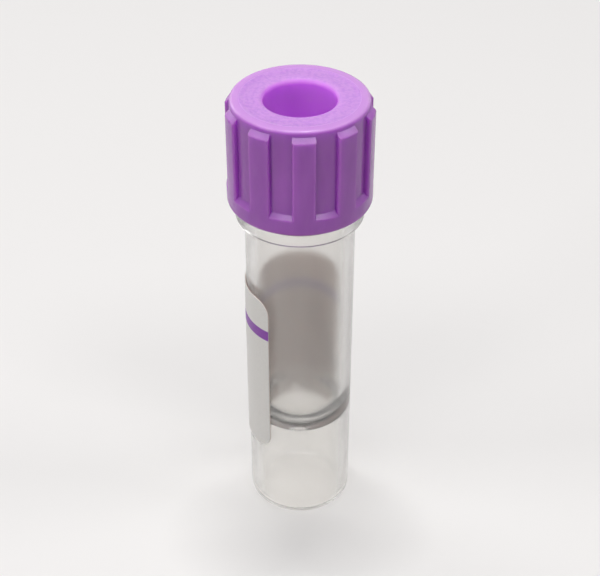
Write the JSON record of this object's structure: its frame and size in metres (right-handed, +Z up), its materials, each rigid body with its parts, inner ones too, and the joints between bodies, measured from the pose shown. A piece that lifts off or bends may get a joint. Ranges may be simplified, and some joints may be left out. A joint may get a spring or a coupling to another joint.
{
  "type": "blood collection tube",
  "caption": "Small clear sample tube on a skirted foot, with a ribbed push-on cap that has a hollow plug, a collar under the cap and a wrap-round label with a fill mark.",
  "frame": {"origin": "middle of the foot, on the tube's axis, at the level of the surface it stands on", "axes": "+Z up the tube's axis, towards the cap; the label's middle faces 129 degrees from +X"},
  "size_m": [0.013, 0.013, 0.045],
  "materials": {
    "tube_polypropylene": "gloss",
    "cap_polyethylene": "satin",
    "label_film": "satin"
  },
  "bodies": {
    "tube": {"tube": "tube_polypropylene", "label": "label_film"},
    "cap": {"cap": "cap_polyethylene"}
  },
  "joints": [
    {"name": "cap_pull", "type": "slide", "parent": "tube", "child": "cap", "axis": [0, 0, 1], "range_m": [0, 0.015]}
  ]
}
